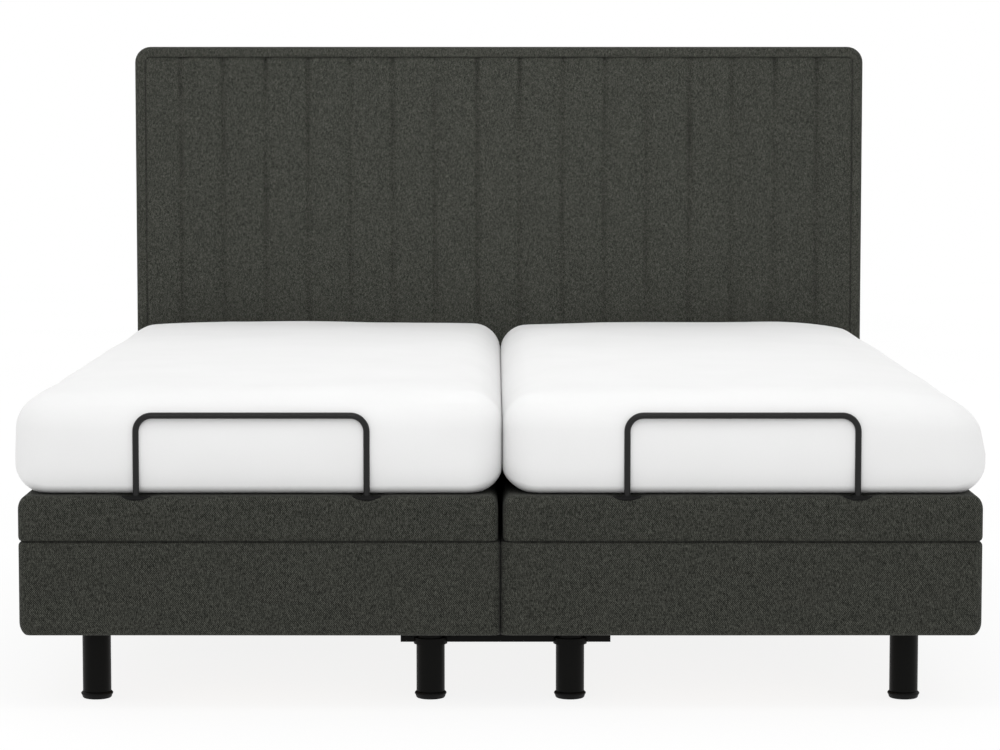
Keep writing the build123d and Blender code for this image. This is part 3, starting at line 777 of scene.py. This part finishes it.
# Where a change fades in: it starts at the first value and is whole after the second.
BULGE_RISE = (0.02, 0.05)
SLUMP_REACH = (0.66, 0.25)
SLUMP_RISE = (0.07, 0.11)
WAVES_RISE = (0.08, 0.06)
HELD_BELOW = 0.012
TICKING_PRESSURE = 0.3
TICKING_STIFFNESS = 80
TICKING_DAMPING = 25
TICKING_BENDING = 5
TICKING_FRAMES = 9
TICKING_CAP = 0.006
MATTRESS_STEP = 0.018
TOUCH_X = 0.003
HALVES_APART = 0.0006
BACK_TILT = 60
THIGH_TILT = 35
SEAT_CUT = BACK_AXIS.y - 0.19
THIGH_CUT = THIGH_AXIS.y - 0.15
BACK_ZONE = (BACK_AXIS.y - 0.19, BACK_AXIS.y + 0.19)
THIGH_ZONE = (THIGH_AXIS.y + 0.11, THIGH_AXIS.y - 0.11)
KNEE_ZONE = (KNEE_AXIS.y + 0.16, KNEE_AXIS.y - 0.16)


def bend_share(y, zone):
    """From 0 to 1 over a fold's zone, smoothly."""
    t = np.clip((y - zone[0]) / (zone[1] - zone[0]), 0, 1)
    return t * t * (3 - 2 * t)


def dip(y, axis_y, zone, tilt):
    """How far a bending underside would sink into the panels beside a fold at full tilt."""
    share = bend_share(y, zone)
    return np.abs(y - axis_y) * np.sin(np.minimum(share, 1 - share) * math.radians(tilt))


def mattress_form(side):
    """One whole mattress: rounded, a little crowned, with room under it at the folds."""
    low = Vector(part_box(f"calf_mattress_{side}")[0])
    high = Vector(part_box(f"back_mattress_{side}")[1])
    on_left = side == "left"
    low.x, high.x = (-MATTRESS_SIDE, TOUCH_X) if on_left else (TOUCH_X + HALVES_APART, MATTRESS_SIDE)
    size = (MATTRESS_CORNER, MATTRESS_TOP_EDGE, by_side(side, *MATTRESS_LOW_EDGES[side]))
    points, faces = soft_block(low, high, *size, MATTRESS_STEP, (), (SEAT_CUT, THIGH_CUT))
    outward = crown(points.copy(), low, high, MATTRESS_BULGE, power=8) - points
    touching = outward[:, 0] > 0 if on_left else outward[:, 0] < 0
    outward[touching, 0] = 0
    outward[:, 2] *= ramp(points[:, 2] - low.z, *BULGE_RISE)
    points += outward
    points = inflated(f"mattress_cloth_{side}", points, faces, points[:, 2] < low.z + HELD_BELOW)
    points[:, 0] = np.minimum(points[:, 0], high.x) if on_left else np.maximum(points[:, 0], low.x)
    outer = ramp(np.abs(points[:, 0]), *SLUMP_REACH) ** 2
    upper = ramp(points[:, 2] - low.z, *SLUMP_RISE)
    points[:, 0] -= np.sign(points[:, 0]) * SLUMP[side][0] * outer * upper
    points[:, 2] -= SLUMP[side][1] * outer * upper
    dents = waves(points.copy(), *MATTRESS_WAVES, 11 if on_left else 12, 2) - points
    points += dents * ramp(points[:, 2:3] - low.z, *WAVES_RISE)
    room = dip(points[:, 1], BACK_AXIS.y, BACK_ZONE, BACK_TILT)
    room += dip(points[:, 1], THIGH_AXIS.y, THIGH_ZONE, THIGH_TILT)
    points[:, 2] = np.maximum(points[:, 2], low.z + room)
    return points, faces


def split_mattress(points, faces, low_y, high_y):
    """The closed part of a mattress between two cuts across it."""
    form = bmesh.new()
    verts = [form.verts.new(p) for p in points]
    for face in faces:
        if low_y < points[face][:, 1].mean() < high_y:
            form.faces.new([verts[k] for k in face])
    for vert in [v for v in form.verts if not v.link_faces]:
        form.verts.remove(vert)
    rims = [edge for edge in form.edges if edge.is_boundary]
    bmesh.ops.edgeloop_fill(form, edges=rims)
    for edge in rims:
        edge.smooth = False
    bmesh.ops.recalc_face_normals(form, faces=form.faces)
    mesh = bpy.data.meshes.new("mattress")
    form.to_mesh(mesh)
    form.free()
    return mesh


def mattress(side):
    """Three closed pieces cut from one form."""
    points, faces = mattress_form(side)
    back, thigh, calf = (f"{section}_section_{side}" for section in ("back", "thigh", "calf"))
    parts = (
        ("back", SEAT_CUT, BEYOND, ("base", back), BACK_ZONE, ("back",)),
        ("middle", THIGH_CUT, SEAT_CUT, ("base", thigh), THIGH_ZONE, ("seat", "thigh")),
        ("foot", -BEYOND, THIGH_CUT, (thigh, calf), KNEE_ZONE, ("calf",)),
    )
    for name, low_y, high_y, bodies, zone, stands_for in parts:
        mesh = split_mattress(points, faces, low_y, high_y)
        piece = new_piece(f"mattress_{name}_{side}", mesh, KNIT)
        cloth_map(piece.data)
        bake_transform(piece)
        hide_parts(*[f"{section}_mattress_{side}" for section in stands_for])


# ---- headboard -------------------------------------------------------------------------------

CHANNELS = 17
CHANNEL_PITCH = 0.105
GATHER = 0.84
KNOT_HEIGHT = 0.009
KNOT_DEPTH = 0.004
PAD_EDGE = 0.007
BORDER = 0.025
BORDER_INNER = 0.013
BORDER_SWELL = 0.0022
BORDER_PINCH = 0.0012
BORDER_ROWS = 70
BORDER_COLUMNS = 110


def painted_output(tree, geometry, finish):
    """Ends a geometry tree: plain geometry with one finish."""
    plain = tree.node("GeometryNodeRealizeInstances", None, {0: geometry})
    painted = tree.node("GeometryNodeSetMaterial", None, {"Geometry": plain[0], "Material": finish})
    tree.node("NodeGroupOutput", None, {0: painted[0]})


def channel_tree():
    """A sheet pressed into upright channels, with small puckers beside every seam."""
    group = bpy.data.node_groups.new("upright_channels", "GeometryNodeTree")
    sockets = {}
    for name, kind, value in (
        ("Width", "Float", 1.75), ("Height", "Float", 0.9), ("Pitch", "Float", CHANNEL_PITCH),
        ("Channels", "Int", CHANNELS), ("Lines per channel", "Int", 18), ("Lines up", "Int", 170),
        ("Seam depth", "Float", 0.0062), ("Seam width", "Float", 0.0050),
        ("Shoulder depth", "Float", 0.0022), ("Shoulder width", "Float", 0.020),
        ("Pucker", "Float", 0.0022), ("Pucker pitch", "Float", 0.038),
    ):
        socket = group.interface.new_socket(name, in_out="INPUT", socket_type=f"NodeSocket{kind}")
        socket.default_value = value
        sockets[name] = socket.identifier
    finish = group.interface.new_socket("Finish", in_out="INPUT", socket_type="NodeSocketMaterial")
    sockets["Finish"] = finish.identifier
    group.interface.new_socket("Geometry", in_out="OUTPUT", socket_type="NodeSocketGeometry")
    tree = Tree(group)
    given = tree.node("NodeGroupInput")
    channels, pitch = given["Channels"], given["Pitch"]
    full = channels * pitch
    columns = channels * given["Lines per channel"] + 1.0
    sizes = {"Size X": full, "Size Y": given["Height"]}
    sizes |= {"Vertices X": columns, "Vertices Y": given["Lines up"]}
    sheet = tree.node("GeometryNodeMeshGrid", None, sizes)
    even_x, y, _ = tree.parts(tree.node("GeometryNodeInputPosition")[0])
    place = even_x / pitch + channels * 0.5
    gathered = place - (place * TURN).sine() * (GATHER / TURN)
    seam = gathered.math("ROUND", gathered)
    near_seam = (gathered - seam) * pitch
    x = (gathered - channels * 0.5) * pitch
    last_seam = full * 0.5 - pitch
    over = (x.size() - last_seam).math("MAXIMUM", x.size() - last_seam, 0.0)
    squeeze = over * (1.0 - (given["Width"] * 0.5 - last_seam) / pitch)
    x_edge = x - x.math("SIGN", x) * squeeze
    drift = tree.grain(tree.joined(seam * 7.3, y * 5.0, 2.0), 1.0) - 0.5
    from_seam = near_seam + drift * 0.004
    crease = (from_seam / given["Seam width"]) ** 2.0
    shoulder = (from_seam / given["Shoulder width"]) ** 2.0
    strength = tree.grain(tree.joined(seam * 3.1, y * 6.0, 6.0), 1.0) * 3.0 - 0.6
    inner_seam = x.math("LESS_THAN", x.size(), last_seam + pitch * 0.5)
    groove = given["Seam depth"] * strength * (crease * -1.0).exponent()
    hollow = given["Shoulder depth"] * (shoulder * -1.0).exponent()
    pucker_place = tree.joined(seam * 5.7, y / given["Pucker pitch"], from_seam * 40.0)
    pucker = (tree.grain(pucker_place, 1.0, 1.0) - 0.5) * given["Pucker"] * (shoulder * -0.5).exponent()
    from_top = given["Height"] * 0.5 - y
    knot = ((from_top / KNOT_HEIGHT) ** 2.0 * -1.0).exponent() * (crease * -0.5).exponent() * KNOT_DEPTH
    depth = (groove + hollow + pucker + knot) * inner_seam
    pressed = {"Geometry": sheet["Mesh"], "Position": tree.joined(x_edge, depth, y)}
    moved = tree.node("GeometryNodeSetPosition", None, pressed)
    painted_output(tree, moved[0], given["Finish"])
    return group, sockets


def made_by(name, group, sockets, values, host=None):
    """The plain mesh that a geometry tree makes with these named inputs."""
    maker = bpy.data.objects.new(name, host or bpy.data.meshes.new(name))
    bpy.context.scene.collection.objects.link(maker)
    work = maker.modifiers.new("made", "NODES")
    work.node_group = group
    for key, value in values.items():
        work[sockets[key]] = value
    mesh = bpy.data.meshes.new_from_object(maker.evaluated_get(bpy.context.evaluated_depsgraph_get()))
    maker.modifiers.remove(work)
    bpy.data.objects.remove(maker)
    return mesh


def channel_pad():
    """The headboard's channelled front: the pressed sheet, rounded at its rim and closed behind."""
    low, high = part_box("headboard_channel_pad")
    group, sockets = channel_tree()
    values = {"Width": high.x - low.x, "Height": high.z - low.z, "Finish": WEAVE}
    mesh = made_by("channel_sheet", group, sockets, values)
    form = bmesh.new()
    form.from_mesh(mesh)
    for vert in form.verts:
        vert.co += Vector(((low.x + high.x) / 2, low.y, (low.z + high.z) / 2))
        edge_x = min(vert.co.x - low.x, high.x - vert.co.x) / PAD_EDGE
        edge_z = (high.z - vert.co.z) / PAD_EDGE
        vert.co.y += 0.6 * PAD_EDGE * (max(0, 1 - edge_x) ** 2 + max(0, 1 - edge_z) ** 2)
    rim = [edge for edge in form.edges if edge.is_boundary]
    walls = bmesh.ops.extrude_edge_only(form, edges=rim)["geom"]
    for vert in [item for item in walls if isinstance(item, bmesh.types.BMVert)]:
        vert.co.y = high.y
    bmesh.ops.edgeloop_fill(form, edges=[edge for edge in form.edges if edge.is_boundary])
    bmesh.ops.recalc_face_normals(form, faces=form.faces)
    form.to_mesh(mesh)
    form.free()
    piece = new_piece("channel_panel", mesh, WEAVE, angle=60)
    cloth_map(piece.data)
    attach(piece, "base")
    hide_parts("headboard_channel_pad")


def border_section():
    """Outline of the padded border, as (outward from its inner face, back from its front)."""
    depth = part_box("headboard_border")[1].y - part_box("headboard_border")[0].y
    outline = []
    for corner, radius, start in (
        ((BORDER, 0), 0.012, 270), ((BORDER, depth), 0.006, 0),
        ((0, depth), 0.002, 90), ((0, 0), 0.005, 180),
    ):
        cx = corner[0] + (-radius if corner[0] else radius)
        cy = corner[1] + (-radius if corner[1] else radius)
        for k in range(7):
            angle = math.radians(start + 15 * k)
            outline.append((cx + radius * math.cos(angle), cy + radius * math.sin(angle)))
    return outline


def round_corner(x, z, start):
    """The path round one inner corner of the border, as (x, z, outward angle in degrees)."""
    path = []
    for k in range(9):
        angle = start - 90 * k / 8
        turn = math.radians(angle)
        path.append((x + BORDER_INNER * math.cos(turn), z + BORDER_INNER * math.sin(turn), angle))
    return path


def headboard_border():
    """The padded border, swept up one side of the headboard, over the top and down the other."""
    low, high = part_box("headboard_border")
    left, right, top = low.x + BORDER, high.x - BORDER, high.z - BORDER
    first, last, shoulder = left + BORDER_INNER, right - BORDER_INNER, top - BORDER_INNER
    height = shoulder - low.z
    path = [(left, low.z + height * k / BORDER_ROWS, 180) for k in range(BORDER_ROWS)]
    path += round_corner(first, shoulder, 180)
    path += [(first + (last - first) * k / BORDER_COLUMNS, top, 90) for k in range(1, BORDER_COLUMNS)]
    path += round_corner(last, shoulder, 90)
    path += [(right, shoulder - height * k / BORDER_ROWS, 0) for k in range(1, BORDER_ROWS + 1)]
    outline = border_section()
    count = len(outline)
    points, faces = [], []
    for x, z, angle in path:
        out = Vector((math.cos(math.radians(angle)), 0, math.sin(math.radians(angle))))
        pinch = noise.noise(Vector((x * 28, 3.0, z * 28)))
        for reach, back in outline:
            swell = BORDER_SWELL * math.sin(math.pi * min(1, back / (high.y - low.y))) * (reach / BORDER)
            front = BORDER_PINCH * pinch * max(0, 1 - back / 0.03)
            points.append(Vector((x, low.y + back + front, z)) + out * (reach + swell))
    for ring in range(len(path) - 1):
        for k in range(count):
            a, b = ring * count + k, ring * count + (k + 1) % count
            faces.append([a, b, b + count, a + count])
    faces.append(list(range(count)))
    faces.append([(len(path) - 1) * count + k for k in range(count)])
    mesh = mesh_of("headboard_edge", points, faces)
    form = bmesh.new()
    form.from_mesh(mesh)
    bmesh.ops.recalc_face_normals(form, faces=form.faces)
    form.to_mesh(mesh)
    form.free()
    piece = new_piece("headboard_edge", mesh, WEAVE, angle=60)
    cloth_map(piece.data)
    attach(piece, "base")
    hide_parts("headboard_border")


# ---- bars and legs ---------------------------------------------------------------------------


BAR_BEND = 0.030
TUBE_RADIUS = 0.027
CAP_RADIUS = 0.0305
LEG_SIDES = 48


def retainer_bar(side):
    """The bent bar at a mattress's foot, with finer bends than the CAD solid."""
    low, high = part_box(f"retainer_bar_{side}")
    radius = (high.y - low.y) / 2
    y = (low.y + high.y) / 2
    left, right, top = low.x + radius, high.x - radius, high.z - radius
    heights = (low.z, (low.z + top) / 2, top - BAR_BEND - 0.001)
    line = [Vector((left, y, z)) for z in heights]
    for centre, start in ((left + BAR_BEND, 180), (right - BAR_BEND, 90)):
        for k in range(13):
            angle = math.radians(start - 7.5 * k)
            across, up = BAR_BEND * math.cos(angle), BAR_BEND * math.sin(angle)
            line.append(Vector((centre + across, y, top - BAR_BEND + up)))
        if start == 180:
            line.append(Vector(((left + right) / 2, y, top)))
    line += [Vector((right, y, z)) for z in reversed(heights)]
    mesh = mesh_of(f"foot_bar_{side}", *tube(line, radius))
    piece = new_piece(mesh.name, mesh, ENAMEL, f"calf_section_{side}", angle=60)
    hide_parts(f"retainer_bar_{side}")


def repeat_tree():
    """One piece at every point of the host mesh, as plain geometry with one finish."""
    group = bpy.data.node_groups.new("repeat_piece", "GeometryNodeTree")
    group.interface.new_socket("Places", in_out="INPUT", socket_type="NodeSocketGeometry")
    sockets = {}
    for name, kind in (("Piece", "Object"), ("Finish", "Material")):
        socket = group.interface.new_socket(name, in_out="INPUT", socket_type=f"NodeSocket{kind}")
        sockets[name] = socket.identifier
    group.interface.new_socket("Geometry", in_out="OUTPUT", socket_type="NodeSocketGeometry")
    tree = Tree(group)
    given = tree.node("NodeGroupInput")
    piece = tree.node("GeometryNodeObjectInfo", None, {"Object": given["Piece"]})
    repeats = {"Points": given["Places"], "Instance": piece["Geometry"]}
    placed = tree.node("GeometryNodeInstanceOnPoints", None, repeats)
    painted_output(tree, placed[0], given["Finish"])
    return group, sockets


def leg_places():
    """The eight legs: the inner ones stand as far from a box's middle as the outer ones."""
    low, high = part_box("leg_foot_caps")
    reach = high.x - CAP_RADIUS
    inner = abs(sum(corner.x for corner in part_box("box_cover_right"))) - reach
    ends = (low.y + CAP_RADIUS, high.y - CAP_RADIUS)
    return [(x, y, 0) for x in (-reach, -inner, inner, reach) for y in ends]


def repeated(name, profile, places, material, node):
    """One turned shape at every place, as a single piece that stands for a CAD node."""
    group, sockets = repeat_tree()
    pattern = bpy.data.objects.new(name + "_one", mesh_of(name + "_one", *turned_piece(profile, LEG_SIDES)))
    bpy.context.scene.collection.objects.link(pattern)
    host = mesh_of(name + "_places", places, [])
    mesh = made_by(name, group, sockets, {"Piece": pattern, "Finish": material}, host)
    bpy.data.objects.remove(pattern)
    piece = new_piece(name, mesh, material, "base", angle=40)
    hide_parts(node)


def legs():
    """Leg posts with broken edges, and the wider caps under them."""
    low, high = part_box("leg_tubes")
    places = leg_places()
    tube_profile = [
        (TUBE_RADIUS - 0.001, low.z), (TUBE_RADIUS, low.z + 0.001),
        (TUBE_RADIUS, high.z - 0.001), (TUBE_RADIUS - 0.001, high.z),
    ]
    repeated("leg_posts", tube_profile, places, STEEL, "leg_tubes")
    cap_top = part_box("leg_foot_caps")[1].z
    cap_profile = [
        (0.0245, 0.0), (0.0262, 0.0006), (0.0275, 0.002), (0.0290, 0.0065),
        (0.0303, cap_top - 0.0045), (CAP_RADIUS, cap_top - 0.0035), (0.0300, cap_top - 0.0022),
        (0.0282, cap_top - 0.0004), (0.0276, cap_top),
    ]
    repeated("leg_caps", cap_profile, places, PLASTIC, "leg_foot_caps")


# ---- studio ----------------------------------------------------------------------------------


FLOOR_HALF = 14.0
# name, place, aim, width, depth, spread in degrees, power
LIGHTS = (
    ("headboard light", (-0.3, -5.0, 2.1), (0.0, 1.0, 1.0), 2.4, 0.5, 25, 5.2),
    ("overhead light", (0.0, -1.6, 3.8), (0.0, -0.5, 0.6), 2.0, 1.6, 120, 9.6),
)
CAMERA_LENS = 113.18
CAMERA_SHIFT = 0.006
CAMERA_PLACE = (-0.012, FOOT_Y - 5.804, 1.1212)
CAMERA_DOWN = 4.848


def studio():
    """White room, white floor and two soft lights."""
    scene = bpy.context.scene
    scene.view_settings.view_transform = "Standard"
    world = bpy.data.worlds.new("white_room")
    scene.world = world
    world.use_nodes = True
    world.node_tree.nodes["Background"].inputs["Color"].default_value = (1, 1, 1, 1)
    world.node_tree.nodes["Background"].inputs["Strength"].default_value = 1.0
    corners = [(x * FLOOR_HALF, y * FLOOR_HALF, 0) for x, y in ((-1, -1), (1, -1), (1, 1), (-1, 1))]
    floor = bpy.data.objects.new("floor", mesh_of("floor", corners, [[0, 1, 2, 3]]))
    floor.data.materials.append(FLOOR)
    scene.collection.objects.link(floor)
    for name, place, aim, width, depth, spread, power in LIGHTS:
        data = bpy.data.lights.new(name, "AREA")
        data.shape, data.size, data.size_y, data.energy = "RECTANGLE", width, depth, power
        data.spread = math.radians(spread)
        lamp = bpy.data.objects.new(name, data)
        lamp.location = place
        lamp.rotation_euler = (Vector(aim) - Vector(place)).to_track_quat("-Z", "Y").to_euler()
        scene.collection.objects.link(lamp)


def camera():
    """A long lens at the foot of the bed, looking slightly down."""
    data = bpy.data.cameras.new("camera")
    data.sensor_width = 36.0
    data.lens = CAMERA_LENS
    data.shift_x = CAMERA_SHIFT
    cam = bpy.data.objects.new("camera", data)
    cam.location = CAMERA_PLACE
    cam.rotation_euler = (math.radians(90 - CAMERA_DOWN), 0, 0)
    bpy.context.scene.collection.objects.link(cam)
    bpy.context.scene.camera = cam


# ---- assembly --------------------------------------------------------------------------------

studio()
camera()
finish_cad_nodes()
for side in SIDES:
    box_cover(side)
    for section in SECTIONS:
        deck_cover(section, side)
    mattress(side)
    retainer_bar(side)
    bar_foot_shade_sheets(side)
channel_pad()
headboard_border()
legs()
